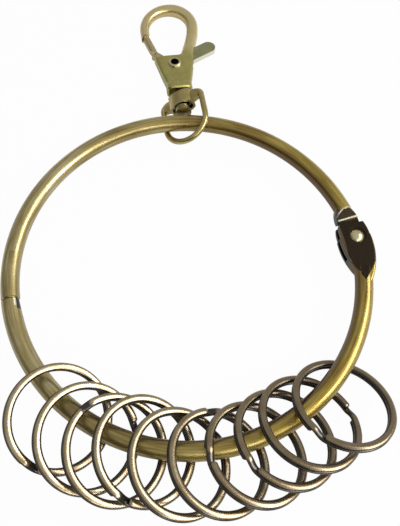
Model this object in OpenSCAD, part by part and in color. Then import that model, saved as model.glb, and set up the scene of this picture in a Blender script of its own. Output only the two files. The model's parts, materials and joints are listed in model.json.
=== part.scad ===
// Key hoop: a hinged round-wire hoop that opens at a snap seam, ten split rings
// threaded on its lower arc, and a swivel lobster clasp on its upper arc.
// Millimetres. The hoop's centre is over the origin and the table is z = 0.

/* [Hoop] */
// Outer diameter of the hoop, across the wire
hoop_od = 101; // [96:0.5:106]
// Diameter of the hoop's round wire
wire_d = 4.9; // [4.6:0.05:5.1]
// Where the snap seam lies round the hoop, in degrees
snap_angle = 196; // [190:0.5:204]
// Clear gap between the two closed ends
snap_gap = 0.12; // [0.05:0.01:0.3]
// Width of the chamfer round each closed end
end_chamfer = 0.3; // [0.1:0.05:0.5]
// Diameter of the locating spigot in the snap
spigot_d = 1.8; // [1.2:0.1:2.4]
// How far the spigot reaches into its socket
spigot_len = 1.4; // [0.8:0.1:2]
// Radial clearance round the spigot
spigot_play = 0.12; // [0.08:0.01:0.3]
// Length of the ground flat beside the snap
flat_len = 4.8; // [3:0.1:7]
// Depth of the ground flat at the seam
flat_depth = 0.75; // [0.3:0.05:1]

/* [Hinge] */
// Where the hinge rivet lies round the hoop, in degrees
hinge_angle = 14.7; // [10:0.1:20]
// Width of the flattened fork across its belly
fork_w = 9.2; // [8.6:0.1:9.6]
// Thickness of the flattened fork
fork_t = 4.1; // [3.7:0.1:4.6]
// Radius of the fork's bowed sides
fork_bow = 20; // [16:0.5:24]
// Distance from the rivet back to the fork's widest place
fork_belly = 1.6; // [0:0.1:4]
// Distance from the rivet to the tips of the fork's cheeks
fork_tip = 4.1; // [3.6:0.05:4.4]
// How far the fork's middle lies inside the wire's line
fork_inset = 0.6; // [0:0.05:0.8]
// How far the rivet lies inside the wire's line
rivet_inset = 0.1; // [0:0.05:0.6]
// Radius of the corners of the cheeks
fork_corner = 1; // [0.8:0.1:2]
// Edge rounding of the fork's bowed sides
fork_edge = 0.6; // [0.3:0.05:0.9]
// Depth of the fork's slot behind the rivet
slot_depth = 6.2; // [5:0.1:7.5]
// Thickness of the tongue
tongue_t = 1.5; // [1.2:0.05:1.8]
// Clearance on each side of the tongue
tongue_play = 0.1; // [0.05:0.01:0.2]
// Radius of the tongue's round end
tongue_r = 4.2; // [3.4:0.1:4.6]
// Distance along the hoop from the rivet to the shoulder behind the tongue
shoulder = 5.7; // [5.5:0.05:6.5]
// Width of the flared neck at the shoulder
neck_w = 6.4; // [6:0.1:7.4]
// Radius of the neck's bowed sides
neck_bow = 8; // [7:0.2:16]
// How far the neck's middle lies inside the wire's line
neck_inset = 0.6; // [0:0.05:1]
// Thickness of the neck at the shoulder
neck_t = 3; // [2.6:0.1:3.6]
// Length of the facet that slopes down to the shoulder
facet_len = 3.2; // [2:0.1:4.5]
// Diameter of the hinge rivet's shank
rivet_d = 2.3; // [1.8:0.1:2.8]
// Diameter of the hinge rivet's domed head
rivet_head_d = 3.9; // [3.4:0.1:4.2]
// Height of the hinge rivet's domed head
rivet_head_h = 0.9; // [0.6:0.05:1.2]
// Diameter of the shallow seat round the rivet's head
rivet_seat_d = 5.1; // [4.5:0.1:5.4]
// Depth of the seat round the rivet's head
rivet_seat_depth = 0.25; // [0.1:0.05:0.4]
// Running clearance of the hinge rivet in the tongue
rivet_play = 0.05; // [0.03:0.01:0.1]

/* [Split rings] */
// Outer diameter of a split ring
ring_od = 26.2; // [25.4:0.1:27]
// Radial width of a split ring's band
ring_band = 1.9; // [1.6:0.1:2.1]
// Height of one turn of the band
turn_h = 0.98; // [0.8:0.02:1]
// Gap between the two turns
turn_gap = 0.08; // [0.04:0.01:0.12]
// Height of the shallow dome on each side of the band
band_dome = 0.38; // [0.25:0.01:0.42]
// Half the angle of the crossover between the turns, in degrees
crossover = 8; // [6:0.5:12]
// Spare room round the hoop's wire inside a leaning ring
ring_room = 1.05; // [0.8:0.05:1.2]
// How far the rings also lean across the wire, in degrees
ring_cant = 13.6; // [12:0.1:15]
// Clear gap where the hoop's wire rests on the rings
seat_gap = 0.05; // [0.02:0.01:0.2]

/* [Swivel eye] */
// Where the eye lies round the hoop, in degrees
eye_angle = 95; // [80:0.1:110]
// How far the clasp points off the hoop's radius, in degrees
eye_skew = 7.5; // [0:0.1:12]
// Half the width of the eye's loop, to the middle of its rod
eye_half_w = 6.9; // [6.8:0.1:8]
// Diameter of the eye's rod
eye_rod_d = 1.8; // [1.7:0.05:2.2]
// Length from the collar's top to the middle of the rod at the loop's foot
eye_len = 17.3; // [16:0.1:19]
// Length from the collar's top to the middle of the hoop's wire
eye_to_wire = 10.95; // [10.6:0.05:11.8]
// Height of the eye's bridge along the swivel axis
bridge_h = 3.8; // [3.2:0.1:4.2]
// Distance from the collar's top to the bridge's top edge
bridge_drop = 0.3; // [0.2:0.1:1]
// Thickness of the eye's bridge
bridge_t = 1.6; // [1.4:0.1:1.8]
// Radius of the eye's shoulders, to the middle of its rod
shoulder_r = 1.8; // [1.4:0.1:2.4]
// Length of the collar along the swivel axis
collar_len = 4.9; // [4.4:0.1:5.2]
// Width of the collar
collar_w = 8.1; // [7:0.1:9]
// Thickness of the collar
collar_t = 5.6; // [5:0.1:6]
// Radius of the collar's crowned faces
collar_crown = 7; // [6:0.5:10]
// Thickness of the collar's wall round its sunk lower face
collar_wall = 0.7; // [0.5:0.05:0.9]
// Depth of the collar's sunk lower face
collar_sink = 0.8; // [0.4:0.1:1.2]
// Clearance between each leg of the eye and the hoop's wire
eye_play = 0.2; // [0.1:0.01:0.3]

/* [Swivel post] */
// Diameter of the post
post_d = 2.9; // [2.4:0.1:3.2]
// Running clearance of the post in the collar
post_play = 0.1; // [0.06:0.01:0.12]
// How far the clasp leans off the eye's axis, within the post's play, in degrees
swivel_tilt = 1.2; // [0:0.1:1.5]
// Diameter of the post's head
post_head_d = 5; // [4.6:0.1:5.4]
// Height of the straight rim of the post's head
post_rim_h = 1.6; // [1:0.1:2]
// Height of the dome on the post's head
post_dome_h = 0.45; // [0.2:0.05:0.8]
// Clearance between the collar and the post's head
post_head_gap = 0.35; // [0.1:0.05:0.6]
// How far the post goes up into the clasp's body
post_grip = 4; // [3:0.1:4.6]

/* [Clasp body] */
// Gap between the eye's collar and the clasp's body
swivel_gap = 1.8; // [1.4:0.05:2.2]
// Length from the body's foot to the trigger's pivot
foot_to_pivot = 10.7; // [9.8:0.1:11.5]
// How far the trigger's pivot lies off the body's middle line
pivot_offset = 0.35; // [0:0.05:0.6]
// Width of the body at its foot
foot_w = 8.2; // [7.4:0.1:9]
// Width of the body across the trigger's pivot
waist_w = 11.7; // [11:0.1:12.6]
// Thickness of the body's flat plate
plate_t = 4.2; // [3.8:0.1:4.6]
// Height of the plate's top edge over the pivot
plate_top = 4.1; // [3:0.1:4.4]
// Extra thickness of the rounded bead at the foot
bead = 0.45; // [0.2:0.05:0.7]
// Radius of the hook's bow, to the middle of its bar
bow_r = 8.15; // [7.4:0.1:8.6]
// Height of the hook's bow, to the middle of its bar
bow_h = 9.3; // [8.4:0.1:10]
// How far the top of the bow leans towards the lever
bow_lean = 0.6; // [0:0.1:1]
// Height of the centre of the hook's bow over the pivot
bow_rise = 18; // [16.5:0.1:18.5]
// Width of the hook's bar
bar_w = 3.8; // [3.2:0.1:4.2]
// Width of the hook's bar at its tip
tip_w = 2.9; // [2.5:0.1:3.2]
// Height of the hook's tip over the pivot, on its centre line
tip_rise = 14.6; // [13:0.1:15]

/* [Trigger] */
// Thickness of the trigger's plate
trigger_t = 1.6; // [1.3:0.05:1.8]
// Clearance on each face of the trigger
trigger_play = 0.1; // [0.06:0.01:0.15]
// Radius of the trigger's boss
boss_r = 3.5; // [3.2:0.1:3.7]
// Diameter of the gate's round bar
gate_d = 2.5; // [2.2:0.1:2.8]
// Gap between the gate and the tip of the hook
gate_gap = 0.25; // [0.1:0.01:0.3]
// Length of the thumb lever from the pivot to the middle of its round end
lever_len = 14.2; // [12:0.1:15]
// How far the lever's middle line passes above the pivot
lever_offset = 1.15; // [0:0.05:1.3]
// Width of the thumb lever
lever_w = 4.7; // [4:0.1:5]
// Direction of the thumb lever, in degrees from straight across
lever_angle = 27; // [25:0.5:30]
// How far the trigger turns when it is pressed, in degrees
trigger_travel = 25; // [15:1:26]
// Outer diameter of the hollow pivot rivet
eyelet_d = 3.2; // [2.8:0.1:3.4]
// Diameter of the hole through the pivot rivet
eyelet_bore = 2.5; // [2:0.1:2.6]
// Diameter of the pivot rivet's rolled rims
eyelet_rim_d = 4.2; // [3.9:0.1:4.6]
// Height of the pivot rivet's rolled rims
eyelet_rim_h = 0.6; // [0.4:0.05:0.8]
// Running clearance of the pivot rivet in the trigger
eyelet_play = 0.05; // [0.03:0.01:0.1]
// Diameter of the trigger spring's wire
spring_wire = 0.36; // [0.3:0.02:0.4]
// Radius of the trigger spring's coil
spring_r = 2.25; // [2.2:0.05:2.35]

/* [Hidden] */
$fn = 64;
hoop_r = (hoop_od - wire_d) / 2;
wire_r = wire_d / 2;
far = 30;

// Split rings: where each lies round the hoop and how far its centre hangs
// outside the wire, both in the order in which they are threaded.
ring_places = [-123.8, -114.4, -106.2, -98.6, -88.8, -78.4, -68.2, -59.3, -51.1, -40.6];
ring_hangs = [3, 2.9, 2.5, 0.8, 2.5, 2.8, 3, 2.6, 2.7, 5.1];
ring_turns = [10, 130, 240, 345, 130, 175, 260, 280, 70, 270];
usual_hang = 2.7;
ring_ro = ring_od / 2;
ring_ri = ring_ro - ring_band;
ring_t = 2 * turn_h + turn_gap;
dome_r = (pow(ring_band / 2, 2) + pow(band_dome, 2)) / (2 * band_dome);
// A ring leans along the wire until the wire just passes inside both rims.
room_r = sqrt(pow(ring_ri, 2) - pow(usual_hang, 2));
ring_pitch = asin((wire_r + ring_room) / norm([room_r, ring_t / 2])) + atan(ring_t / 2 / room_r);
slope_along = tan(ring_pitch);
slope_across = tan(ring_cant);
slope_all = norm([slope_along, slope_across]);
ring_lean = atan(slope_all);
ring_lean_dir = atan2(slope_along, -slope_across);
ring_rise = (ring_ro - ring_band / 2) * sin(ring_lean) + (ring_t / 2 - dome_r) * cos(ring_lean) + dome_r;
// The hoop's wire rests on the low rims of the rings, which the domes round off.
rim_drop = slope_along * room_r / norm([1, slope_along]) + slope_across * usual_hang;
hoop_rise = ring_rise - rim_drop + (ring_t - band_dome) / 2 * norm([1, slope_all])
    + wire_r * norm([1, slope_across]) + seat_gap;

function arc_angle(len) = len / hoop_r * 180 / PI;

// The eye rolls until one leg clears the top of the hoop's wire and the other its underside.
// The swivel axis slopes down from the wire's middle until the hook's bow nears the table.
eye_rod_r = eye_rod_d / 2;
bow_low = bar_w / 2 + 0.12;
wire_to_bow = eye_to_wire + swivel_gap + foot_to_pivot + bow_rise + bow_h;
eye_axis_h = hoop_rise;
clasp_slope = atan((eye_axis_h - bow_low) / wire_to_bow);
eye_roll = asin((wire_r + eye_rod_r + eye_play) / eye_half_w);

cavity_t = trigger_t + 2 * trigger_play;
spring_turned = 700;
spring_pitch = spring_wire + 0.04;
spring_base = (spring_wire - cavity_t) / 2;
spring_top = spring_base + spring_pitch * spring_turned / 360 + spring_wire / 2;
gate_foot = [-5.75, 5.8];
gate_head = [-7.95, 13.9];
gate_lean = atan2(gate_foot[0] - gate_head[0], gate_head[1] - gate_foot[1]);
tip_cut = 45;

brass = [0.62, 0.53, 0.30];
bright_brass = [0.80, 0.72, 0.45];
dark_brass = [0.36, 0.30, 0.17];

// ---- frames ----

// On the hoop's wire: x points outwards, y runs on round the hoop, z is up.
module on_hoop(angle) {
    translate([hoop_r * cos(angle), hoop_r * sin(angle), hoop_rise]) rotate([0, 0, angle]) children();
}

// On the hinge's rivet: y runs straight on towards the upper half.
module on_rivet() {
    on_hoop(hinge_angle) translate([-rivet_inset, 0, 0]) children();
}

// On the swivel axis at the top of the eye's collar: y points to the clasp's hook.
module on_swivel() {
    translate([hoop_r * cos(eye_angle), hoop_r * sin(eye_angle), eye_axis_h])
        rotate([0, 0, eye_angle + eye_skew - 90]) rotate([-clasp_slope, 0, 0])
            translate([0, eye_to_wire, 0]) children();
}

// On the post's own axis, which leans a little within the eye's collar.
module on_post() {
    on_swivel() rotate([0, 0, -swivel_tilt]) children();
}

// On the trigger's pivot, in the clasp's own plane.
module on_pivot() {
    on_post() translate([-pivot_offset, swivel_gap + foot_to_pivot, 0]) children();
}

// ---- shapes used more than once ----

// A disc with rounded rims, lying on its middle plane.
module rounded_disc(r, t, edge) {
    rotate_extrude() {
        translate([0, -t / 2]) square([r - edge, t]);
        translate([0, edge - t / 2]) square([r, t - 2 * edge]);
        for (side = [-1, 1]) translate([r - edge, side * (t / 2 - edge)]) circle(edge);
    }
}

// Two bowed sides and two flat faces, as a wire's end takes when it is forged flat.
module forged_lens(w, t, bow, edge) {
    intersection_for (side = [-1, 1]) translate([side * (bow - w / 2), 0, 0]) rounded_disc(bow, t, edge);
}

// A spherical cap standing on z = 0.
module dome(d, h) {
    r = (d * d / 4 + h * h) / (2 * h);
    intersection() {
        translate([0, 0, h - r]) sphere(r);
        cylinder(h = h + 1, r = d);
    }
}

// A length of the hoop's wire between two angles.
module wire_arc(from, to) {
    rotate([0, 0, from]) rotate_extrude(angle = to - from) translate([hoop_r, 0]) circle(wire_r);
}

// What the chamfer takes off a closed end whose face is at y = 0 and looks along +y.
module end_bevel() {
    rotate([-90, 0, 0]) rotate_extrude()
        polygon([[wire_r - end_chamfer, 0], [wire_r + 1, -end_chamfer - 1], [wire_d, -1], [wire_d, 1],
            [wire_r - end_chamfer - 0.5, 0.5]]);
}

// A wedge over and under the wire that leaves half_t at y = 0 and the whole wire at y = len.
module thinning_wedge(half_t, len, back) {
    for (side = [-1, 1]) scale([1, 1, side])
        rotate([90, 0, 90]) linear_extrude(2 * far, center = true)
            polygon([[-back, half_t], [0, half_t], [len, wire_r], [len, far], [-back, far]]);
}

// A skin over a row of equal closed sections.
module loft(sections) {
    n = len(sections[0]);
    last = len(sections) - 1;
    polyhedron(
        points = [for (s = sections) each s],
        faces = concat(
            [[for (i = [0 : n - 1]) i]],
            [for (k = [0 : last - 1]) for (i = [0 : n - 1])
                [k * n + i, (k + 1) * n + i, (k + 1) * n + (i + 1) % n]],
            [for (k = [0 : last - 1]) for (i = [0 : n - 1])
                [k * n + i, (k + 1) * n + (i + 1) % n, k * n + (i + 1) % n]],
            [[for (i = [n - 1 : -1 : 0]) last * n + i]]
        )
    );
}

// One corner-rounded section: half width a, half height b, squareness p, along two directions.
function squircle(centre, across, up, a, b, p, n) = [
    for (i = [0 : n - 1])
        let (c = cos(360 * i / n), s = sin(360 * i / n))
            centre + across * a * sign(c) * pow(abs(c), 2 / p) + up * b * sign(s) * pow(abs(s), 2 / p)
];

// ---- hoop ----

module lower_arc() {
    seam = snap_angle - 360 + arc_angle(snap_gap / 2);
    color(brass) difference() {
        union() {
            translate([0, 0, hoop_rise]) wire_arc(seam, hinge_angle - arc_angle(fork_belly + 5));
            on_hoop(hinge_angle) translate([-fork_inset, -fork_belly, 0])
                forged_lens(fork_w, fork_t, fork_bow, fork_edge);
        }
        fork_cuts();
        on_hoop(seam) mirror([0, 1, 0]) end_bevel();
        on_hoop(snap_angle) snap_socket();
        on_hoop(snap_angle) ground_flat();
    }
}

// Everything that is cut from the flattened end: its thinning, tips, slot and rivet hole.
module fork_cuts() {
    on_hoop(hinge_angle - arc_angle(fork_belly + 7.5)) mirror([0, 1, 0])
        thinning_wedge(fork_t / 2, 4, far);
    on_rivet() {
        linear_extrude(2 * far, center = true) difference() {
            translate([-far, 0]) square([2 * far, far]);
            translate([rivet_inset - fork_inset, 0]) cheek_end();
        }
        translate([-far, -slot_depth, -tongue_t / 2 - tongue_play])
            cube([2 * far, far, tongue_t + 2 * tongue_play]);
        cylinder(h = 2 * far, d = rivet_d, center = true);
        translate([0, 0, fork_t / 2 - rivet_seat_depth]) cylinder(h = far, d = rivet_seat_d);
    }
}

// The outline that the tips of the cheeks keep: a bar with two rounded corners.
module cheek_end() {
    half = fork_w / 2 - 0.45;
    translate([-half, -1]) square([2 * half, fork_tip - fork_corner + 1]);
    translate([fork_corner - half, -1]) square([2 * (half - fork_corner), fork_tip + 1]);
    for (side = [-1, 1]) translate([side * (half - fork_corner), fork_tip - fork_corner]) circle(fork_corner);
}

module snap_socket() {
    rotate([-90, 0, 0]) cylinder(h = spigot_len + 2 * spigot_play, d = spigot_d + 2 * spigot_play);
}

// A slanting flat on the inner upper side that fades out away from the seam.
module ground_flat() {
    rotate([0, -25, 0]) mirror([1, 0, 0]) linear_extrude(2 * wire_d, center = true)
        polygon([
            [wire_r - flat_depth, -1], [wire_r - flat_depth, 0], [wire_r, flat_len],
            [2 * wire_r, flat_len], [2 * wire_r, -1]
        ]);
}

module upper_arc() {
    seam = snap_angle - arc_angle(snap_gap / 2);
    neck = hinge_angle + arc_angle(shoulder);
    color(brass) difference() {
        union() {
            difference() {
                union() {
                    translate([0, 0, hoop_rise]) wire_arc(neck + arc_angle(1.5), seam);
                    on_hoop(neck) translate([-neck_inset, 0, 0])
                        forged_lens(neck_w, wire_d * 0.96, neck_bow, wire_r * 0.7);
                }
                on_hoop(seam) end_bevel();
                on_hoop(neck) {
                    thinning_wedge(neck_t / 2, facet_len, 1);
                    translate([-far, -2 * far, -far]) cube([2 * far, 2 * far, 2 * far]);
                }
            }
            on_hoop(snap_angle) snap_spigot();
            on_rivet() linear_extrude(tongue_t, center = true) tongue_outline();
        }
        on_rivet() cylinder(h = 2 * far, d = rivet_d + 2 * rivet_play, center = true);
    }
}

module tongue_outline() {
    circle(tongue_r);
    translate([rivet_inset - neck_inset - neck_w / 2 + 0.3, 0]) square([neck_w - 0.6, shoulder + 1]);
}

module snap_spigot() {
    straight = spigot_len - spigot_d / 4;
    translate([0, -end_chamfer, 0]) rotate([-90, 0, 0]) {
        cylinder(h = straight + end_chamfer, d = spigot_d);
        translate([0, 0, straight + end_chamfer])
            cylinder(h = spigot_d / 4, d1 = spigot_d, d2 = spigot_d / 2);
    }
}

module hinge_rivet() {
    seat = fork_t / 2 - rivet_seat_depth;
    color(bright_brass) on_rivet() {
        translate([0, 0, -fork_t / 2]) cylinder(h = fork_t / 2 + seat, d = rivet_d);
        translate([0, 0, seat]) dome(rivet_head_d, rivet_head_h);
        translate([0, 0, -fork_t / 2]) mirror([0, 0, 1]) dome(rivet_head_d, rivet_head_h / 2);
    }
}

// ---- split rings ----

// The band's cross-section round its own middle: a shallow dome above and below, and two
// low walls, all drawn in by skin.
module band_section(skin) {
    translate([ring_ro - ring_band / 2, 0]) intersection() {
        square([ring_band - 2 * skin, turn_h], center = true);
        translate([0, turn_h / 2 - dome_r]) circle(dome_r - skin);
        translate([0, dome_r - turn_h / 2]) circle(dome_r - skin);
    }
}

// Two turns, one on the other, joined by a crossover that steps down between their ends.
module split_ring() {
    turn_pitch = turn_h + turn_gap;
    lap = 1.2;
    skin = 0.1;
    descent = atan(turn_pitch / (2 * (ring_ro - ring_band / 2) * sin(crossover)));
    for (side = [-1, 1])
        rotate([0, 0, crossover]) translate([0, 0, side * turn_pitch / 2])
            rotate_extrude(angle = 360 - 2 * crossover) band_section(0);
    rotate([-descent, 0, 0]) rotate([0, 0, -crossover - lap])
        rotate_extrude(angle = 2 * (crossover + lap)) band_section(skin);
}

// Ring number k where it lies: leaning on the wire, its low rim on the table.
module placed_ring(k) {
    rotate([0, 0, ring_places[k]]) translate([hoop_r + ring_hangs[k], 0, ring_rise])
        rotate([0, 0, ring_lean_dir]) rotate([0, ring_lean, 0])
            rotate([0, 0, ring_turns[k] - ring_lean_dir]) split_ring();
}

module split_ring_1() color(brass) placed_ring(0);
module split_ring_2() color(brass) placed_ring(1);
module split_ring_3() color(brass) placed_ring(2);
module split_ring_4() color(brass) placed_ring(3);
module split_ring_5() color(brass) placed_ring(4);
module split_ring_6() color(brass) placed_ring(5);
module split_ring_7() color(brass) placed_ring(6);
module split_ring_8() color(brass) placed_ring(7);
module split_ring_9() color(brass) placed_ring(8);
module split_ring_10() color(brass) placed_ring(9);

// ---- swivel eye and post ----

module swivel_eye() {
    color(brass) on_swivel() rotate([0, -eye_roll, 0]) difference() {
        union() {
            rotate([90, 0, 0]) linear_extrude(collar_len) collar_outline(0);
            eye_bridge();
            eye_loop();
        }
        rotate([90, 0, 0]) {
            cylinder(h = collar_len * 3, d = post_d + 2 * post_play, center = true);
            translate([0, 0, collar_len - collar_sink]) linear_extrude(1) collar_outline(collar_wall);
        }
    }
}

// A round with two crowned faces, drawn in all round by inset.
module collar_outline(inset) {
    intersection() {
        circle(collar_w / 2 - inset);
        crown(1) circle(collar_crown - inset);
        crown(-1) circle(collar_crown - inset);
    }
}

// At the centre of one of the collar's crowned faces.
module crown(side) {
    translate([0, side * (collar_crown - collar_t / 2)]) children();
}

// The web that fills the corners between the collar and the arms of the loop.
module eye_bridge() {
    top = bridge_drop + 0.1;
    side = eye_half_w - eye_rod_r + 0.13;
    linear_extrude(bridge_t, center = true)
        polygon([
            [-side, -top - 0.5], [1.2 - side, -top], [side - 1.2, -top], [side, -top - 0.5],
            [side, 0.6 - top - bridge_h], [collar_w / 2 - 0.4, -top - bridge_h],
            [0.4 - collar_w / 2, -top - bridge_h], [-side, 0.6 - top - bridge_h]
        ]);
}

// The rod of the loop: two arms, two shoulders, two legs and the round foot.
module eye_loop() {
    bend = eye_len - eye_half_w;
    arm = bridge_drop + eye_rod_r;
    corner = eye_half_w - shoulder_r;
    translate([0, -bend, 0]) rotate([0, 0, 180]) rotate_extrude(angle = 180)
        translate([eye_half_w, 0]) circle(eye_rod_r);
    for (side = [-1, 1]) {
        translate([side * eye_half_w, -bend, 0]) rotate([-90, 0, 0])
            cylinder(h = bend - arm - shoulder_r, r = eye_rod_r);
        translate([side * corner, -arm - shoulder_r, 0]) rotate([0, 0, side > 0 ? 0 : 90])
            rotate_extrude(angle = 90) translate([shoulder_r, 0]) circle(eye_rod_r);
    }
    translate([-corner, -arm, 0]) rotate([0, 90, 0]) cylinder(h = 2 * corner, r = eye_rod_r);
}

module swivel_post() {
    foot = collar_len + post_head_gap;
    color(bright_brass) on_post() rotate([90, 0, 0]) {
        translate([0, 0, -swivel_gap - post_grip]) cylinder(h = foot + swivel_gap + post_grip, d = post_d);
        translate([0, 0, foot]) cylinder(h = post_rim_h, d = post_head_d);
        translate([0, 0, foot + post_rim_h]) dome(post_head_d, post_dome_h);
    }
}

// ---- clasp ----

module clasp_body() {
    color(brass) on_pivot() difference() {
        union() {
            plate();
            hook();
        }
        linear_extrude(cavity_t, center = true) trigger_sweep();
        cylinder(h = 2 * far, d = eyelet_d, center = true);
        translate([pivot_offset, -foot_to_pivot, 0]) rotate([-90, 0, 0])
            cylinder(h = 2 * post_grip, d = post_d, center = true);
        hook_tip_cut(0, 5);
    }
}

// The flat plate, from the beaded foot up to the edge of the hook's opening.
module plate() {
    sections = [
        [-foot_to_pivot, foot_w / 2 - 0.5, plate_t / 2 + bead - 0.4],
        [-foot_to_pivot + 0.4, foot_w / 2, plate_t / 2 + bead],
        [-foot_to_pivot + 1.9, foot_w / 2 + 0.05, plate_t / 2 + bead],
        [-foot_to_pivot + 2.4, foot_w / 2 - 0.1, plate_t / 2 + 0.1],
        [-foot_to_pivot + 3, foot_w / 2, plate_t / 2],
        [-foot_to_pivot * 0.4, foot_w * 0.25 + waist_w * 0.25, plate_t / 2],
        [0, waist_w / 2, plate_t / 2],
        [plate_top - 0.6, waist_w / 2 + 0.8, plate_t / 2],
        [plate_top, waist_w / 2 + 0.8, plate_t / 2 - 0.5]
    ];
    loft([for (q = sections) squircle([pivot_offset, q[0], 0], [1, 0, 0], [0, 0, -1], q[1], q[2], 4, 28)]);
}

// The hook: up the right side, over the bow and down to its tip on the left.
module hook() {
    side = [[3.7, 1.5], [4.5, 4.2], [5.3, 6.7], [6.1, 9.2], [6.85, 11.6], [7.5, 13.9], [7.9, 16]];
    bow = [for (a = [0 : 9 : 180]) [bow_r * cos(a) + bow_lean * sin(a), bow_rise + bow_h * sin(a)]];
    path = concat(side, bow, [[-bow_r, bow_rise - 2], [-bow_r + 0.1, tip_rise - 3]]);
    last = len(path) - 1;
    loft([
        for (k = [0 : last])
            let (d = path[min(k + 1, last)] - path[max(k - 1, 0)], u = d / norm(d),
                 narrowing = max(0, 2 * k / last - 1), flare = max(0, 3 - k) * 0.12,
                 w = bar_w / 2 * (1 - narrowing) + tip_w / 2 * narrowing + flare)
                squircle([path[k][0], path[k][1], 0], [-u[1], u[0], 0], [0, 0, 1],
                    w, min(w, plate_t / 2 - 0.1), 2.4, 20)
    ]);
}

// What lies beyond the hook's slanted tip for some way, moved out by a gap.
module hook_tip_cut(gap, reach) {
    translate([-bow_r, tip_rise, 0]) rotate([0, 0, tip_cut]) translate([-tip_w * 1.5, -reach - gap, -plate_t])
        cube([tip_w * 3, reach, plate_t * 2]);
}

// Where the trigger's plate goes between shut and pressed, with clearance.
module trigger_sweep() {
    for (turn = [0 : 5 : trigger_travel]) rotate(-turn) trigger_outline(0.25);
}

module trigger_outline(extra) {
    circle(boss_r + extra);
    rotate(lever_angle) translate([0, lever_offset]) {
        translate([0, -lever_w / 2 - extra]) square([lever_len, lever_w + 2 * extra]);
        translate([lever_len, 0]) circle(lever_w / 2 + extra);
    }
    gate_arm(extra);
}

// The arm that joins the boss to the gate's bar.
module gate_arm(extra) {
    rotate(atan2(gate_foot[1], gate_foot[0])) translate([0, -gate_d / 2 - extra])
        square([norm(gate_foot) + 0.5, gate_d + 2 * extra]);
}

module trigger() {
    color(dark_brass) on_pivot() difference() {
        union() {
            linear_extrude(trigger_t, center = true) trigger_outline(0);
            gate_bar();
        }
        cylinder(h = 2 * far, d = eyelet_d + 2 * eyelet_play, center = true);
        spring_pocket();
    }
}

// The gate's bar, from the notch at its foot to its slanted seat under the hook's tip.
module gate_bar() {
    intersection() {
        translate([gate_foot[0], gate_foot[1], 0]) rotate([0, 0, gate_lean]) rotate([-90, 0, 0])
            cylinder(h = norm(gate_head - gate_foot) + 3, d = gate_d);
        hook_tip_cut(gate_gap, far / 2);
    }
}

module spring_pocket() {
    translate([0, 0, -trigger_t])
        cylinder(h = trigger_t + spring_top + 0.1, r = spring_r + spring_wire / 2 + 0.15);
}

// Two turns of fine wire under the trigger's boss, round the pivot.
module trigger_spring() {
    color(bright_brass) on_pivot() loft([
        for (a = [0 : 20 : spring_turned])
            squircle([spring_r * cos(a), spring_r * sin(a), spring_base + spring_pitch * a / 360],
                [-cos(a), -sin(a), 0], [0, 0, 1], spring_wire / 2, spring_wire / 2, 2, 8)
    ]);
}

module trigger_eyelet() {
    color(bright_brass) on_pivot() rotate_extrude() difference() {
        union() {
            translate([0, -plate_t / 2]) square([eyelet_d / 2, plate_t]);
            for (side = [-1, 1]) intersection() {
                translate([eyelet_rim_d / 2 - eyelet_rim_h, side * (plate_t / 2 + 0.05)])
                    circle(eyelet_rim_h);
                translate([0, side > 0 ? plate_t / 2 : -plate_t / 2 - eyelet_rim_h])
                    square([eyelet_rim_d, eyelet_rim_h]);
            }
        }
        translate([-1, -far]) square([eyelet_bore / 2 + 1, 2 * far]);
    }
}

lower_arc();
upper_arc();
hinge_rivet();
swivel_eye();
swivel_post();
clasp_body();
trigger();
trigger_eyelet();
trigger_spring();
split_ring_1();
split_ring_2();
split_ring_3();
split_ring_4();
split_ring_5();
split_ring_6();
split_ring_7();
split_ring_8();
split_ring_9();
split_ring_10();
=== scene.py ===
# A hinged key hoop of round brass wire, with ten split rings and a swivel lobster clasp,
# all plated in antique brass. Lengths are in metres.
import json

import bpy
import numpy as np
from mathutils import Matrix, Vector

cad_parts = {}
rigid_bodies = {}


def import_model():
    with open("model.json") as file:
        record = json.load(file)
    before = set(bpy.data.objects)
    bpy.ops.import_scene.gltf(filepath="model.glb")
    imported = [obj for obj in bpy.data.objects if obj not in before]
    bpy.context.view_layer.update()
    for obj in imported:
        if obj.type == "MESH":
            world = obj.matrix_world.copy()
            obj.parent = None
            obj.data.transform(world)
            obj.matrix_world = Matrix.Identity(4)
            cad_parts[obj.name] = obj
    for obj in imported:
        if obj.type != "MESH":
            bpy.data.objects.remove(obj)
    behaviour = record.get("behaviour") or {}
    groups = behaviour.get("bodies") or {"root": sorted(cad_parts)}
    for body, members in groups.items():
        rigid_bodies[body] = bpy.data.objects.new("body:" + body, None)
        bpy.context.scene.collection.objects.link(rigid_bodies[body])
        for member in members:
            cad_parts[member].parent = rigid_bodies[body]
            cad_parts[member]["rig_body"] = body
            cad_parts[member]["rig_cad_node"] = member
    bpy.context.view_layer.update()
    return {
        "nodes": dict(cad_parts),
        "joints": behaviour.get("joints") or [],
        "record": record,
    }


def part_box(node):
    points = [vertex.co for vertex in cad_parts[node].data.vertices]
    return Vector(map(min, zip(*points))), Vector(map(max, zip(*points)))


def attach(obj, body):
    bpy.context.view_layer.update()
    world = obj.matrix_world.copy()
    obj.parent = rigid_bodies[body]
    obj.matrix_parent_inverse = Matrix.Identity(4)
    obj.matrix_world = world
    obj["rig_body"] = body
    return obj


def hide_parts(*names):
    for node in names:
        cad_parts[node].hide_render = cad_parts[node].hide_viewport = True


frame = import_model()
nodes = frame["nodes"]
joints = {joint["name"]: joint for joint in frame["joints"]}
mounts = {mount["name"]: mount for mount in frame["record"]["mounts"]}


# ---- Hoop ----
# Two arcs of round brass wire, one forged into a slotted leaf and the other into the tongue
# that turns in it. They are plated dark and brushed along the wire, so that the plate is
# worn bright in fine streaks. The brush misses the flats beside the hinge.

COAT_WEIGHT, COAT_IOR, COAT_ROUGHNESS = 0.9, 1.6, 0.23

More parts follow.
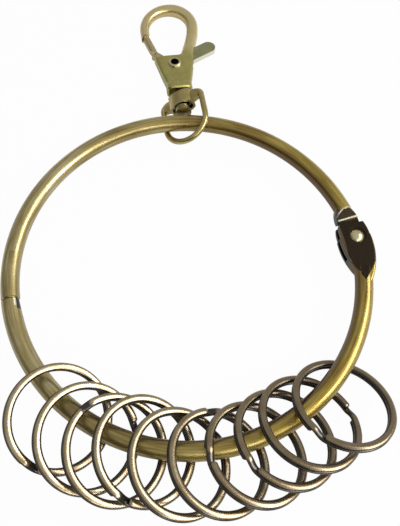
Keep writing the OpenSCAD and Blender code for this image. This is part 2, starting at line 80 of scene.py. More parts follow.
# The brushed plate: a place from 0, deep in a streak, to 1, and the colour there.
GOLDEN_WEAR = [(0.37, (0.17, 0.09, 0.005)), (0.50, (0.37, 0.245, 0.020)), (0.64, (0.56, 0.44, 0.10))]
GREYER_WEAR = [(0.37, (0.24, 0.17, 0.045)), (0.50, (0.44, 0.35, 0.13)), (0.64, (0.64, 0.56, 0.33))]
GREYER_BEFORE, GOLDEN_AFTER = -0.055, 0.03
STREAKS_PER_METRE, BLOTCHES_PER_METRE = (90, 1500, 1500), 70.0
STREAK_SHARE, BLOTCH_SHARE = 0.6, 0.4
STREAK_MATT, STREAK_GLOSSY, STREAK_DEPTH = 0.44, 0.32, 0.0001
NOISE_LOW, NOISE_HIGH = 0.35, 0.65

# Painted shade: the wire's inner side darkened, on the hinge's side only.
INNER_PAINTED_SHADE = (0.13, 0.065, 0.006)
INNER_FROM, INNER_TO = 0.0010, 0.0023
INNER_BEFORE, INNER_AFTER = -0.015, 0.03

# Painted light beside the snap, where the wire's inner side is ground flat: a painted highlight line and
# a painted shade strip, each with how long, how far inwards of the wire's middle line, and the colour.
# The colour of the painted highlights on the wire's edges.
PAINTED_HIGHLIGHT = (0.86, 0.80, 0.60)
SNAP_ANGLE = np.radians(-164.0)
SNAP_PAINTED_LIGHT = [(0.0026, 0.0012, PAINTED_HIGHLIGHT), (0.0036, 0.0017, (0.030, 0.034, 0.038))]
SNAP_FADE, EDGE_BLUR = 0.0006, 0.0001

# The leaf and the neck, along the wire from the rivet. FLAT and STEEP say how nearly a face
# lies level, as the upright part of its normal.
# The flats keep a dark plate; the inner walls get painted shade, and a painted highlight along their top
# edge.
FORK_PATINA, FLANK_PAINTED_SHADE = (0.030, 0.020, 0.011), (0.035, 0.035, 0.022)
FLATS_COAT_LOSS = 0.75
TAPER_FROM, TAPER_TO, TAPER_HALF_WIDTH = -0.0138, -0.0070, 0.0040
TAPER_INSET, TAPER_BLUR = 0.0002, 0.0002
SHOULDER, FACET_END, FACET_BLUR = 0.0057, 0.0088, 0.0002
FLAT_NONE, FLAT_FULL = 0.84, 0.88
STEEP_NONE, STEEP_FULL = 0.86, 0.80
FLANK_NONE, FLANK_FULL, FLANK_FADE = -0.0088, -0.0075, 0.0006
FLANK_INWARD_FROM, FLANK_INWARD_TO = 0.0008, 0.0016
FLANK_EDGE_FROM, FLANK_EDGE_TO, FLANK_EDGE_SHINE = 0.60, 0.72, 0.5

# The two painted highlight lines across the neck: the straight shoulder, and the facet's end,
# which arches back by ARCH_PER_METRE times the square of the distance from the middle line. Both
# are laid only on faces turned upwards.
SHOULDER_SHINE, ARCH_SHINE, ARCH_PER_METRE = 0.6, 0.8, 150.0
LINE_OFFSET, LINE_RISE, LINE_TOP, LINE_END = 0.0002, 0.0003, 0.0001, 0.0004
UPWARD_NONE, UPWARD_FULL = 0.3, 0.7

hoop_low, hoop_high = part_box("upper_arc")
hoop_height = (hoop_low.z + hoop_high.z) / 2
wire_width = hoop_high.z - hoop_low.z
hoop_radius = hoop_high.y - wire_width / 2
rivet_low, rivet_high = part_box("hinge_rivet")
rivet_middle = (rivet_low + rivet_high) / 2
hinge_place = hoop_radius * float(np.arctan2(rivet_middle.y, rivet_middle.x))
snap_place = hoop_radius * SNAP_ANGLE


def new_material(name):
    """A lacquered metal: the material, its tree and its shader."""
    material = bpy.data.materials.new(name)
    material.use_nodes = True
    shader = material.node_tree.nodes["Principled BSDF"]
    shader.inputs["Metallic"].default_value = 1.0
    shader.inputs["Coat Weight"].default_value = COAT_WEIGHT
    shader.inputs["Coat IOR"].default_value = COAT_IOR
    shader.inputs["Coat Roughness"].default_value = COAT_ROUGHNESS
    return material, material.node_tree, shader


def add_node(tree, kind, **values):
    """One shader node. Each value is a property of the node, or else a socket by its name."""
    node = tree.nodes.new(kind)
    for key, value in values.items():
        if hasattr(node, key):
            setattr(node, key, value)
        else:
            node.inputs[key.replace("_", " ")].default_value = value
    return node


def maths(tree, operation, a, b=None):
    """One sum on two sockets or numbers."""
    node = add_node(tree, "ShaderNodeMath", operation=operation)
    for socket, value in zip(node.inputs, (a, b)):
        if isinstance(value, (int, float)):
            socket.default_value = value
        elif value is not None:
            tree.links.new(value, socket)
    return node.outputs["Value"]


def product(tree, first, *others):
    """Sockets or numbers multiplied together."""
    for other in others:
        first = maths(tree, "MULTIPLY", first, other)
    return first


def smooth_step(tree, value, low, high):
    """0 at low, 1 at high and eased between. Low may be the larger."""
    node = add_node(
        tree, "ShaderNodeMapRange", interpolation_type="SMOOTHSTEP", From_Min=low, From_Max=high)
    tree.links.new(value, node.inputs["Value"])
    return node.outputs["Result"]


def straight_step(tree, value, low, high, at_low, at_high):
    """at_low at low, at_high at high and in proportion between."""
    node = add_node(
        tree, "ShaderNodeMapRange", From_Min=low, From_Max=high, To_Min=at_low, To_Max=at_high)
    tree.links.new(value, node.inputs["Value"])
    return node.outputs["Result"]


def noise(tree, vector, **values):
    """Clouds over a vector: a number that keeps near 0.5."""
    node = add_node(tree, "ShaderNodeTexNoise", **values)
    tree.links.new(vector, node.inputs["Vector"])
    return node.outputs["Fac"]


def ramp(tree, source, stops):
    """Colour that runs through the stops, each a place from 0 to 1 and a colour."""
    node = tree.nodes.new("ShaderNodeValToRGB")
    elements = node.color_ramp.elements
    while len(elements) < len(stops):
        elements.new(0.5)
    for element, (place, colour) in zip(elements, stops):
        element.position = place
        element.color = (*colour, 1.0)
    tree.links.new(source, node.inputs["Fac"])
    return node.outputs["Color"]


def blend_colour(tree, factor, under, over):
    """Over on top of under by factor; each is a socket or a colour."""
    node = add_node(tree, "ShaderNodeMix", data_type="RGBA")
    tree.links.new(factor, node.inputs["Factor"])
    colour_sockets = [socket for socket in node.inputs if socket.type == "RGBA"]
    for socket, value in zip(colour_sockets, (under, over)):
        if isinstance(value, tuple):
            socket.default_value = (*value, 1.0)
        else:
            tree.links.new(value, socket)
    return next(socket for socket in node.outputs if socket.type == "RGBA")


def own(tree, output):
    """The piece's own coordinates, "Object", its normal, "Normal", or the sky's direction."""
    return add_node(tree, "ShaderNodeTexCoord").outputs[output]


def split_axes(tree, vector):
    """The x, y and z of a vector."""
    axes = add_node(tree, "ShaderNodeSeparateXYZ")
    tree.links.new(vector, axes.inputs["Vector"])
    return [axes.outputs[axis] for axis in "XYZ"]


def round_the_hoop(tree):
    """(length round the hoop, distance from its centre, height), and x, length and distance."""
    x, y, z = split_axes(tree, own(tree, "Object"))
    squares = maths(tree, "ADD", product(tree, x, x), product(tree, y, y))
    length = product(tree, maths(tree, "ARCTAN2", y, x), hoop_radius)
    radius = maths(tree, "SQRT", squares)
    joined = add_node(tree, "ShaderNodeCombineXYZ")
    for socket, value in zip("XYZ", (length, radius, z)):
        tree.links.new(value, joined.inputs[socket])
    return joined.outputs["Vector"], x, length, radius


def streaks(tree, vector):
    """Fine noise drawn out along the wire."""
    stretch = add_node(tree, "ShaderNodeMapping", Scale=STREAKS_PER_METRE)
    tree.links.new(vector, stretch.inputs["Vector"])
    return noise(tree, stretch.outputs["Vector"], Scale=1.0, Detail=4.0, Roughness=0.6)


def brushed_plate(tree, streak, vector, across):
    """Streaks on blotches, greyer by the snap and golden by the hinge."""
    blotch = noise(tree, vector, Scale=BLOTCHES_PER_METRE, Detail=3.0)
    wear = maths(tree, "ADD", product(tree, streak, STREAK_SHARE), product(tree, blotch, BLOTCH_SHARE))
    side = smooth_step(tree, across, GREYER_BEFORE, GOLDEN_AFTER)
    return blend_colour(tree, side, ramp(tree, wear, GREYER_WEAR), ramp(tree, wear, GOLDEN_WEAR))


def inner_shade_mask(tree, across, radius):
    """Where the painted shade goes: 1 on the wire's inner side, fading out away from the hinge."""
    inside = smooth_step(tree, radius, hoop_radius - INNER_FROM, hoop_radius - INNER_TO)
    return product(tree, inside, smooth_step(tree, across, INNER_BEFORE, INNER_AFTER))


def snap_painted_strip(tree, length, radius, long, inward):
    """Where painted light goes by the snap: 1 on the wire's inner side from the snap on, for a length.
    """
    from_snap = maths(tree, "SUBTRACT", length, snap_place)
    side = hoop_radius - inward
    return product(
        tree, smooth_step(tree, from_snap, -EDGE_BLUR, EDGE_BLUR),
        smooth_step(tree, from_snap, long, long - SNAP_FADE),
        smooth_step(tree, radius, side + EDGE_BLUR, side - EDGE_BLUR))


def forged_flats(tree, from_rivet, radius, level):
    """1 on the flats on both sides of the hinge, running out to a point along the wire."""
    half = straight_step(tree, from_rivet, TAPER_FROM, TAPER_TO, 0.0, TAPER_HALF_WIDTH)
    aside = maths(tree, "ABSOLUTE", maths(tree, "SUBTRACT", radius, hoop_radius - TAPER_INSET))
    return product(
        tree, smooth_step(tree, level, FLAT_NONE, FLAT_FULL),
        smooth_step(tree, maths(tree, "SUBTRACT", half, aside), -EDGE_BLUR, TAPER_BLUR),
        smooth_step(tree, from_rivet, FACET_END + FACET_BLUR, FACET_END - FACET_BLUR))


def forged_flanks(tree, from_rivet, radius, level):
    """Where painted shade goes: 1 on the inner walls of the leaf and the neck."""
    return product(
        tree, smooth_step(tree, from_rivet, FLANK_NONE, FLANK_FULL),
        smooth_step(tree, from_rivet, FACET_END + FACET_BLUR, FACET_END - FLANK_FADE),
        smooth_step(tree, level, STEEP_NONE, STEEP_FULL),
        smooth_step(tree, radius, hoop_radius - FLANK_INWARD_FROM, hoop_radius - FLANK_INWARD_TO))


def painted_edge_lines(tree, from_rivet, radius, upright):
    """1 on the two edges given a painted highlight, on faces turned upwards: the neck's shoulder and the
    facet's arched end.
    """
    aside = maths(tree, "SUBTRACT", radius, hoop_radius)
    arched = maths(tree, "ADD", from_rivet, product(tree, aside, aside, ARCH_PER_METRE))
    lines = []
    for place, along, shine in ((SHOULDER, from_rivet, SHOULDER_SHINE), (FACET_END, arched, ARCH_SHINE)):
        middle = place + LINE_OFFSET
        rise = smooth_step(tree, along, middle - LINE_RISE, middle)
        fall = smooth_step(tree, along, middle + LINE_END, middle + LINE_TOP)
        lines.append(product(tree, rise, fall, shine))
    upward = smooth_step(tree, upright, UPWARD_NONE, UPWARD_FULL)
    return product(tree, maths(tree, "MAXIMUM", *lines), upward)


def brushed_wire_brass():
    """Brushed antique brass: streaks along the wire in colour, gloss and depth, with painted shade and
    painted highlights by the hinge and the snap.
    """
    material, tree, shader = new_material("brushed antique brass")
    vector, across, length, radius = round_the_hoop(tree)
    from_rivet = maths(tree, "SUBTRACT", length, hinge_place)
    upright = split_axes(tree, own(tree, "Normal"))[2]
    level = maths(tree, "ABSOLUTE", upright)
    streak = streaks(tree, vector)
    flats = forged_flats(tree, from_rivet, radius, level)
    flanks = forged_flanks(tree, from_rivet, radius, level)
    flank_edge = smooth_step(tree, level, FLANK_EDGE_FROM, FLANK_EDGE_TO)

    colour = brushed_plate(tree, streak, vector, across)
    # Painted shade on the wire's inner side by the hinge.
    colour = blend_colour(tree, inner_shade_mask(tree, across, radius), colour, INNER_PAINTED_SHADE)
    # A painted highlight line and a painted shade strip beside the snap.
    for long, inward, tone in SNAP_PAINTED_LIGHT:
        colour = blend_colour(tree, snap_painted_strip(tree, length, radius, long, inward), colour, tone)
    # Painted shade on the inner walls, with a painted highlight along their top edge.
    colour = blend_colour(tree, flanks, colour, FLANK_PAINTED_SHADE)
    flank_edge = product(tree, flanks, flank_edge, FLANK_EDGE_SHINE)
    colour = blend_colour(tree, flank_edge, colour, PAINTED_HIGHLIGHT)
    colour = blend_colour(tree, flats, colour, FORK_PATINA)
    # Painted highlights on the neck's shoulder and the facet's end.
    colour = blend_colour(tree, painted_edge_lines(tree, from_rivet, radius, upright), colour, PAINTED_HIGHLIGHT)
    tree.links.new(colour, shader.inputs["Base Color"])

    coat = maths(tree, "SUBTRACT", COAT_WEIGHT, product(tree, flats, FLATS_COAT_LOSS))
    tree.links.new(coat, shader.inputs["Coat Weight"])
    gloss = straight_step(tree, streak, NOISE_LOW, NOISE_HIGH, STREAK_MATT, STREAK_GLOSSY)
    tree.links.new(gloss, shader.inputs["Roughness"])
    bump = add_node(tree, "ShaderNodeBump", Strength=0.15, Distance=STREAK_DEPTH)
    tree.links.new(streak, bump.inputs["Height"])
    tree.links.new(bump.outputs["Normal"], shader.inputs["Normal"])
    return material


def finish_nodes(names, material):
    """Gives CAD nodes one material."""
    for name in names:
        nodes[name].data.materials.clear()
        nodes[name].data.materials.append(material)


finish_nodes(("lower_arc", "upper_arc"), brushed_wire_brass())


# ---- Hinge rivet ----
# A turned brass pin, headed over after the tongue is in its slot and rubbed bright where its
# dome stands proud of the leaf.

RIVET_BRIGHT, RIVET_DULL = (0.80, 0.70, 0.42), (0.52, 0.43, 0.22)
RIVET_GLOSSY, RIVET_MATT, RIVET_CLOUDS = 0.22, 0.34, 600.0


def cloudy_brass(name, bright, dull, glossy, matt, clouds_per_metre):
    """Tumbled brass: soft clouds between a bright and a dull tone, and between two glosses."""
    material, tree, shader = new_material(name)
    cloud = noise(tree, own(tree, "Object"), Scale=clouds_per_metre, Detail=4.0, Roughness=0.6)
    colour = ramp(tree, cloud, [(NOISE_LOW, dull), (NOISE_HIGH, bright)])
    tree.links.new(colour, shader.inputs["Base Color"])
    gloss = straight_step(tree, cloud, NOISE_LOW, NOISE_HIGH, matt, glossy)
    tree.links.new(gloss, shader.inputs["Roughness"])
    return material, tree, shader, colour


rivet_brass = cloudy_brass(
    "bright rivet brass", RIVET_BRIGHT, RIVET_DULL, RIVET_GLOSSY, RIVET_MATT, RIVET_CLOUDS)[0]
finish_nodes(("hinge_rivet",), rivet_brass)


# ---- Split rings ----
# Each is one flat-oval brass wire wound twice round and sprung shut, with a kink where it
# steps from one turn to the other. The crowns stay bright, while the walls and the seam between
# the turns are darkened by dark plate and painted shade, most of all inside the ring.

RING_MID, RING_HALF_WIDTH, RING_HALF_HEIGHT = 0.01215, 0.00095, 0.00049
TURN_RISE, KINK_HALF = 0.00053, np.radians(8.0)
CROWN_SQUARENESS = 2.1
END_SIZE, END_RUN = 0.35, 0.0003
STEP_ANGLE, SECTION_POINTS = np.radians(2.0), 28
WALL_SHARE, KINK_SHARE = 0.8, 0.4
# The last colour is dark plate with painted shade, laid off the crowns and inside the ring.
RING_WORN, RING_DULL, RING_SEAM_PLATE_AND_SHADE = (0.50, 0.41, 0.25), (0.32, 0.23, 0.11), (0.030, 0.019, 0.008)
RING_GLOSSY, RING_MATT, RING_CLOUDS = 0.25, 0.30, 250.0
OFF_CROWN_SHADE, INNER_WALL = 0.95, 0.3
SEAM_FROM, SEAM_TO = 0.15, 0.75
# Painted shade over the rings to the right of the hoop's middle: its colour, strength and where it
# starts.
RING_RIGHT_SHADE, RIGHT_SHADE_STRENGTH = (0.15, 0.095, 0.035), 0.6
RIGHT_SHADE_BEFORE, RIGHT_SHADE_AFTER = -0.03, 0.03


def ring_frame(k):
    """Centre, two directions in the ring's plane and its normal; the first lies on the kink.

    The kink is where the CAD coil's walls cross the middle between its two turns.
    """
    mount = mounts[f"key_place_{k}"]
    centre, normal = np.array(mount["pos_m"]), np.array(mount["axis"])
    normal /= np.linalg.norm(normal)
    mesh = nodes[f"split_ring_{k}"].data
    points = np.empty(len(mesh.vertices) * 3, np.float32)
    mesh.vertices.foreach_get("co", points)
    points = points.reshape(-1, 3) - centre
    height = points @ normal
    flat = points - np.outer(height, normal)
    radius = np.linalg.norm(flat, axis=1)
    on_wall = np.abs(radius - RING_MID) > RING_HALF_WIDTH * WALL_SHARE
    kink = flat[on_wall & (np.abs(height) < TURN_RISE * KINK_SHARE)].mean(axis=0)
    kink /= np.linalg.norm(kink)
    return centre, kink, np.cross(normal, kink), normal


def tube(name, points, seam):
    """A closed tube from a grid of points, (along, around, 3), with the seam-and-shade value as an
    attribute.
    """
    along, around = points.shape[:2]
    here = np.arange(along * around).reshape(along, around)
    after = np.roll(here, -1, axis=1)
    quads = np.stack([here[:-1], after[:-1], after[1:], here[1:]], axis=-1).reshape(-1, 4)
    faces = [tuple(quad) for quad in quads.tolist()]
    faces += [tuple(here[0][::-1].tolist()), tuple(here[-1].tolist())]
    mesh = bpy.data.meshes.new(name)
    mesh.from_pydata(points.reshape(-1, 3).tolist(), [], faces)
    mesh.polygons.foreach_set("use_smooth", [len(face) == 4 for face in faces])
    attribute = mesh.attributes.new("seam", "FLOAT", "POINT")
    attribute.data.foreach_set("value", seam.ravel().astype(np.float32))
    piece = bpy.data.objects.new(name, mesh)
    bpy.context.scene.collection.objects.link(piece)
    return piece


def coil(k):
    """Sweeps a squared oval round two turns.

    The path's height is one turn's rise up before the kink and one down after it, eased
    between. The oval's half axes are the wire's, and it shrinks a little at both ends. The
    seam-and-shade value, for dark plate and painted shade, is 0 on a crown, 1 between the
    turns, and darker inside the ring.
    """
    centre, first, second, normal = ring_frame(k)
    total = 4 * np.pi - 2 * KINK_HALF
    turn = np.linspace(0, total, int(total / STEP_ANGLE))
    angle = turn + KINK_HALF
    past = np.clip((angle - 2 * np.pi + KINK_HALF) / (2 * KINK_HALF), 0, 1)
    height = TURN_RISE * (1 - 2 * past * past * (3 - 2 * past))
    around = np.linspace(0, 2 * np.pi, SECTION_POINTS, endpoint=False)
    power = 2 / CROWN_SQUARENESS
    across = np.sign(np.cos(around)) * np.abs(np.cos(around)) ** power
    up = np.sign(np.sin(around)) * np.abs(np.sin(around)) ** power
    to_end = np.minimum(turn, total - turn) * RING_MID
    size = np.sqrt(np.clip(END_SIZE + to_end / END_RUN, 0, 1))[:, None]
    radius = RING_MID + RING_HALF_WIDTH * across[None, :] * size
    level = height[:, None] + RING_HALF_HEIGHT * up[None, :] * size
    spoke = np.cos(angle)[:, None] * first + np.sin(angle)[:, None] * second
    points = centre + radius[..., None] * spoke[:, None, :] + level[..., None] * normal
    # Dark plate and painted shade: 0 on a crown, rising towards the walls, the seam and the inside.
    crown = (height / TURN_RISE)[:, None] * up[None, :]
    inner = np.clip(-across - INNER_WALL, 0, 1)[None, :]
    seam = np.clip(OFF_CROWN_SHADE - OFF_CROWN_SHADE * crown + inner, 0, 1)
    return tube(f"ring_coil_{k}", points, seam)


def coil_brass():
    """Worn brass, with dark plate and painted shade off the crowns, in the seams and inside the rings,
    and painted shade on the rings to the right.
    """
    material, tree, shader, colour = cloudy_brass(
        "worn ring brass", RING_WORN, RING_DULL, RING_GLOSSY, RING_MATT, RING_CLOUDS)
    seam = add_node(tree, "ShaderNodeAttribute", attribute_name="seam")
    # Dark plate and painted shade off the crowns, most inside the ring.
    dark = smooth_step(tree, seam.outputs["Fac"], SEAM_FROM, SEAM_TO)
    # Painted shade on the rings to the right.
    across = split_axes(tree, own(tree, "Object"))[0]
    rightward = smooth_step(tree, across, RIGHT_SHADE_BEFORE, RIGHT_SHADE_AFTER)
    colour = blend_colour(tree, product(tree, rightward, RIGHT_SHADE_STRENGTH), colour, RING_RIGHT_SHADE)
    tree.links.new(blend_colour(tree, dark, colour, RING_SEAM_PLATE_AND_SHADE), shader.inputs["Base Color"])
    return material


ring_brass = coil_brass()
for k in range(1, 11):
    piece = coil(k)
    piece.data.materials.append(ring_brass)
    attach(piece, f"split_ring_{k}")
    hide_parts(f"split_ring_{k}")


# ---- Swivel eye ----
# A die-cast D-shaped loop with an oval collar on its bridge, rubbed by the hoop's wire. The
# collar's underside is sunk for the post's head, and the recess is near black with dark plate
# and painted shade.

EYE_BRIGHT, EYE_DULL = (0.58, 0.47, 0.16), (0.40, 0.30, 0.08)
CAST_GLOSSY, CAST_MATT, CAST_CLOUDS = 0.24, 0.36, 400.0
RECESS_PLATE_AND_SHADE = (0.02, 0.016, 0.01)
FACING_NONE, FACING_FULL = 0.0004, 0.0001
COLLAR_END, COLLAR_START = -0.00488, -0.00478
RECESS_REACH, RECESS_BLUR = 0.0040, 0.0001

swivel = joints["clasp_swivel"]
swivel_place, swivel_axis = Vector(swivel["pos_m"]), Vector(swivel["axis"]).normalized()


def vector_maths(tree, operation, a, b=None):
    """One sum on two vectors, each a socket or a fixed one."""
    node = add_node(tree, "ShaderNodeVectorMath", operation=operation)
    for socket, value in zip(node.inputs, (a, b)):
        if isinstance(value, Vector):
            socket.default_value = value
        elif value is not None:
            tree.links.new(value, socket)
    return node.outputs["Value" if operation in ("DOT_PRODUCT", "LENGTH") else "Vector"]


def metres_along(tree, place, axis):
    """Metres from a place, measured along an axis."""
    reach = vector_maths(tree, "DOT_PRODUCT", own(tree, "Object"), axis)
    return maths(tree, "SUBTRACT", reach, place.dot(axis))


def across_axis(tree, place, axis):
    """The vector at right angles to an axis whose length is the distance from it."""
    away = vector_maths(tree, "SUBTRACT", own(tree, "Object"), place)
    return vector_maths(tree, "CROSS_PRODUCT", away, axis)


def collar_recess(tree):
    """Where dark plate and painted shade go: 1 on the sunk face of the collar and on the walls round it,
    which face its axis.
    """
    along = metres_along(tree, swivel_place, swivel_axis)
    across = across_axis(tree, swivel_place, swivel_axis)
    outward = vector_maths(tree, "CROSS_PRODUCT", swivel_axis, across)
    facing = vector_maths(tree, "DOT_PRODUCT", outward, own(tree, "Normal"))
    distance = vector_maths(tree, "LENGTH", across)
    return product(
        tree, smooth_step(tree, facing, FACING_NONE, FACING_FULL),
        smooth_step(tree, along, COLLAR_END, COLLAR_START),
        smooth_step(tree, along, EDGE_BLUR, -EDGE_BLUR),
        smooth_step(tree, distance, RECESS_REACH + RECESS_BLUR, RECESS_REACH - RECESS_BLUR))


eye_brass, tree, shader, colour = cloudy_brass(
    "rubbed eye brass", EYE_BRIGHT, EYE_DULL, CAST_GLOSSY, CAST_MATT, CAST_CLOUDS)
# Dark plate and painted shade in the collar's recess.
colour = blend_colour(tree, collar_recess(tree), colour, RECESS_PLATE_AND_SHADE)
tree.links.new(colour, shader.inputs["Base Color"])
finish_nodes(("swivel_eye",), eye_brass)


# ---- Swivel post ----
# A turned and headed brass pin, pushed up through the collar and pressed into the clasp.
# Its head is dull, and its shank is near black with dark plate and painted shade in the recess.

POST_BRIGHT, POST_DULL = (0.48, 0.42, 0.18), (0.13, 0.10, 0.022)
POST_CLOUDS = 500.0
SHANK_NONE, SHANK_FULL = -0.0052, -0.0050

post_brass, tree, shader, colour = cloudy_brass(
    "dull post brass", POST_BRIGHT, POST_DULL, CAST_GLOSSY, CAST_MATT, POST_CLOUDS)
# Dark plate and painted shade on the shank in the recess.
shank = smooth_step(tree, metres_along(tree, swivel_place, swivel_axis), SHANK_NONE, SHANK_FULL)
tree.links.new(blend_colour(tree, shank, colour, RECESS_PLATE_AND_SHADE), shader.inputs["Base Color"])
finish_nodes(("swivel_post",), post_brass)


# ---- Clasp body ----
# Foot, plate and hook are die-cast in one and tumbled smooth before plating. What is hooked
# rubs the hook paler than the plate.

CLASP_BRIGHT, CLASP_DULL = (0.51, 0.45, 0.12), (0.41, 0.36, 0.08)
CLASP_GLOSSY, CLASP_MATT = 0.30, 0.42
HOOK_WORN, HOOK_FROM, HOOK_TO = (0.72, 0.58, 0.25), 0.003, 0.008
WELD_REACH = 0.000002
SAME_PLANE, ROUNDED_PAST, SHARP_PAST = np.radians(1.0), np.radians(40.0), np.radians(32.0)
ROUNDING_STEPS = 3

pivot = joints["trigger_press"]
pivot_place, pivot_axis = Vector(pivot["pos_m"]), -Vector(pivot["axis"]).normalized()
pivot_reach = (pivot_place - swivel_place).dot(swivel_axis)


def soft_edged_copy(name, rounding=0.0):
    """A copy of a CAD node with shallow edges shaded smooth, and sharp ones rounded if asked."""
    piece = nodes[name].copy()
    piece.data = nodes[name].data.copy()
    piece.name = name + "_casting"
    bpy.context.scene.collection.objects.link(piece)
    piece.parent = None
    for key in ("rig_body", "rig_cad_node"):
        del piece[key]
    for other in bpy.context.selected_objects:
        other.select_set(False)
    bpy.context.view_layer.objects.active = piece
    piece.select_set(True)
    bpy.ops.object.mode_set(mode="EDIT")
    bpy.ops.mesh.select_all(action="SELECT")
    bpy.ops.mesh.remove_doubles(threshold=WELD_REACH)
    if rounding:
        bpy.ops.mesh.dissolve_limited(angle_limit=SAME_PLANE)
    bpy.ops.object.mode_set(mode="OBJECT")
    bpy.ops.mesh.customdata_custom_splitnormals_clear()
    if rounding:
        bevel = piece.modifiers.new("rounding", "BEVEL")
        bevel.width = rounding
        bevel.segments = ROUNDING_STEPS
        bevel.limit_method = "ANGLE"
        bevel.angle_limit = ROUNDED_PAST
        bpy.ops.object.modifier_apply(modifier="rounding")
    bpy.ops.object.shade_smooth_by_angle(angle=SHARP_PAST)
    return piece


clasp_brass, tree, shader, colour = cloudy_brass(
    "tumbled clasp brass", CLASP_BRIGHT, CLASP_DULL, CLASP_GLOSSY, CLASP_MATT, CAST_CLOUDS)
hook = smooth_step(
    tree, metres_along(tree, swivel_place, swivel_axis), pivot_reach + HOOK_FROM, pivot_reach + HOOK_TO)
tree.links.new(blend_colour(tree, hook, colour, HOOK_WORN), shader.inputs["Base Color"])
finish_nodes(("clasp_body",), clasp_brass)
body_casting = soft_edged_copy("clasp_body")
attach(body_casting, "clasp")
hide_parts("clasp_body")


# ---- Trigger, its eyelet and its spring ----
# The trigger is stamped from sheet brass, with a gate rubbed by the hook's tip and a painted
# highlight along the lever's edge. It turns on a rolled tube, whose bore is near black with dark
# plate and painted shade, and a coil of brass wire closes it.

TRIGGER_BRIGHT, TRIGGER_DULL = (0.37, 0.36, 0.15), (0.28, 0.28, 0.11)
GATE_WORN, GATE_FROM, GATE_TO = (0.56, 0.44, 0.21), 0.0030, 0.0045
LEVER_EDGE_HIGHLIGHT, LEVER_FROM, LEVER_TO = (0.96, 0.92, 0.74), -0.004, -0.006
SHEET_FACE, SHEET_WALL = 0.75, 0.35
STAMPED_ROUNDING = 0.00022
EYELET_BORE, BORE_NONE, BORE_FULL = 0.00125, 0.00016, 0.00004

trigger_brass, tree, shader, colour = cloudy_brass(
    "greenish trigger brass", TRIGGER_BRIGHT, TRIGGER_DULL, CLASP_GLOSSY, CLASP_MATT, CAST_CLOUDS)
towards_gate = metres_along(tree, pivot_place, pivot_axis.cross(swivel_axis).normalized())
gate = smooth_step(tree, towards_gate, GATE_FROM, GATE_TO)
colour = blend_colour(tree, gate, colour, GATE_WORN)
# Painted highlight on the lever's side walls.
facing = vector_maths(tree, "DOT_PRODUCT", own(tree, "Normal"), pivot_axis)
wall = smooth_step(tree, maths(tree, "ABSOLUTE", facing), SHEET_FACE, SHEET_WALL)
lever_highlight = product(tree, wall, smooth_step(tree, towards_gate, LEVER_FROM, LEVER_TO))
tree.links.new(blend_colour(tree, lever_highlight, colour, LEVER_EDGE_HIGHLIGHT), shader.inputs["Base Color"])
finish_nodes(("trigger",), trigger_brass)
trigger_pressing = soft_edged_copy("trigger", STAMPED_ROUNDING)
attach(trigger_pressing, "trigger")
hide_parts("trigger")

eyelet_brass, tree, shader, colour = cloudy_brass(
    "rolled eyelet brass", RIVET_BRIGHT, RIVET_DULL, RIVET_GLOSSY, RIVET_MATT, RIVET_CLOUDS)
off_pivot = vector_maths(tree, "LENGTH", across_axis(tree, pivot_place, pivot_axis))
# Dark plate and painted shade in the eyelet's bore.
bore = smooth_step(tree, off_pivot, EYELET_BORE + BORE_NONE, EYELET_BORE + BORE_FULL)
tree.links.new(blend_colour(tree, bore, colour, RECESS_PLATE_AND_SHADE), shader.inputs["Base Color"])
finish_nodes(("trigger_eyelet",), eyelet_brass)
finish_nodes(("trigger_spring",), rivet_brass)


# ---- Table, light and camera ----
# A pale table under a light tent with two windows, the brighter one to the right. The tent
# is dim low down on the left, so that round wire shows a bright and a dark side.

TABLE_SIZE, TABLE_DROP, TABLE_PALE = 3.0, 0.0001, (0.62, 0.62, 0.62, 1.0)
GLOW_SEEN, GLOW_IN_METAL = 0.97, 0.30
TENT_LOW, TENT_BACK, TENT_RIGHT, TENT_LEFT = 0.03, 0.55, 0.35, 0.18
TENT_TOP, ROOF_FROM, ROOF_TO = (0.52, 0.52, 0.52), 0.45, 0.7
CAMERA_BACK, CAMERA_OVER, CAMERA_LENS = 0.059364, 0.138268, 37.64
CAMERA_TURNS = (("Z", 3.541), ("X", 23.652), ("Y", -1.157))


def pale_table():
    """Matt, with a glow that only the camera and mirrored rays see, so that it lights nothing."""
    material = bpy.data.materials.new("pale table")
    material.use_nodes = True
    tree = material.node_tree
    tree.nodes.clear()
    surface = add_node(tree, "ShaderNodeOutputMaterial")
    diffuse = add_node(tree, "ShaderNodeBsdfDiffuse", Color=TABLE_PALE)
    glow = add_node(tree, "ShaderNodeEmission", Strength=1.0)
    rays = add_node(tree, "ShaderNodeLightPath")
    glow_part = maths(
        tree, "MAXIMUM", product(tree, rays.outputs["Is Camera Ray"], GLOW_SEEN),
        product(tree, rays.outputs["Is Glossy Ray"], GLOW_IN_METAL))
    mix = add_node(tree, "ShaderNodeMixShader")
    tree.links.new(glow_part, mix.inputs["Fac"])
    tree.links.new(diffuse.outputs["BSDF"], mix.inputs[1])
    tree.links.new(glow.outputs["Emission"], mix.inputs[2])
    tree.links.new(mix.outputs["Shader"], surface.inputs["Surface"])
    return material


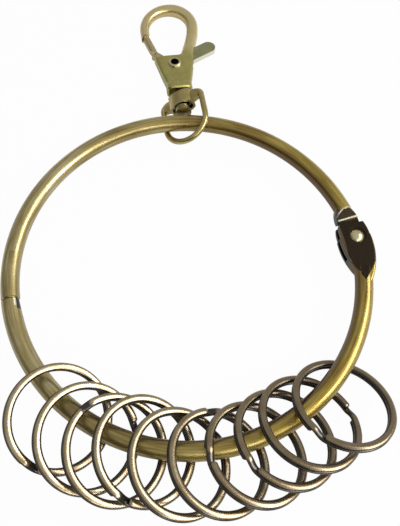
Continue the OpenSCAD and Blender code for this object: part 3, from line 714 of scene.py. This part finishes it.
def light_tent():
    """The sides' glow is a share for each side times its squared direction, under a pale top."""
    world = bpy.data.worlds.new("light tent")
    world.use_nodes = True
    tree = world.node_tree
    x, y, z = split_axes(tree, own(tree, "Generated"))
    sides = TENT_LOW
    for part, sign, glow in ((y, 1, TENT_BACK), (x, 1, TENT_RIGHT), (x, -1, TENT_LEFT)):
        facing = maths(tree, "MAXIMUM", product(tree, part, sign), 0)
        sides = maths(tree, "ADD", sides, product(tree, facing, facing, glow))
    tent = blend_colour(tree, smooth_step(tree, z, ROOF_FROM, ROOF_TO), sides, TENT_TOP)
    seen = add_node(tree, "ShaderNodeLightPath").outputs["Is Camera Ray"]
    tent = blend_colour(tree, seen, tent, (1.0, 1.0, 1.0))
    tree.links.new(tent, tree.nodes["Background"].inputs["Color"])
    return world


def window(name, place, size, power):
    """A soft rectangular lamp at place, turned towards the hoop."""
    lamp = bpy.data.lights.new(name, "AREA")
    lamp.shape = "RECTANGLE"
    lamp.size, lamp.size_y = size
    lamp.energy = power
    holder = bpy.data.objects.new(name, lamp)
    holder.location = place
    holder.rotation_euler = (-Vector(place)).to_track_quat("-Z", "Y").to_euler()
    bpy.context.scene.collection.objects.link(holder)


bpy.ops.mesh.primitive_plane_add(size=TABLE_SIZE, location=(0, 0, -TABLE_DROP))
table = bpy.context.object
table.name = "table"
table.data.materials.append(pale_table())
bpy.context.scene.world = light_tent()
window("window", (0.62, 0.02, 0.50), (0.70, 0.30), 5.2)
window("second window", (0.33, -0.55, 0.50), (0.40, 0.20), 1.1)

camera_data = bpy.data.cameras.new("camera")
camera_data.lens = CAMERA_LENS
camera_data.clip_start = 0.01
camera = bpy.data.objects.new("camera", camera_data)
turned = Matrix.Identity(4)
for axis, degrees in CAMERA_TURNS:
    turned = Matrix.Rotation(np.radians(degrees), 4, axis) @ turned
camera.matrix_world = Matrix.Translation((0, -CAMERA_BACK, hoop_height + CAMERA_OVER)) @ turned
bpy.context.scene.collection.objects.link(camera)
bpy.context.scene.camera = camera
bpy.context.scene.view_settings.view_transform = "Standard"
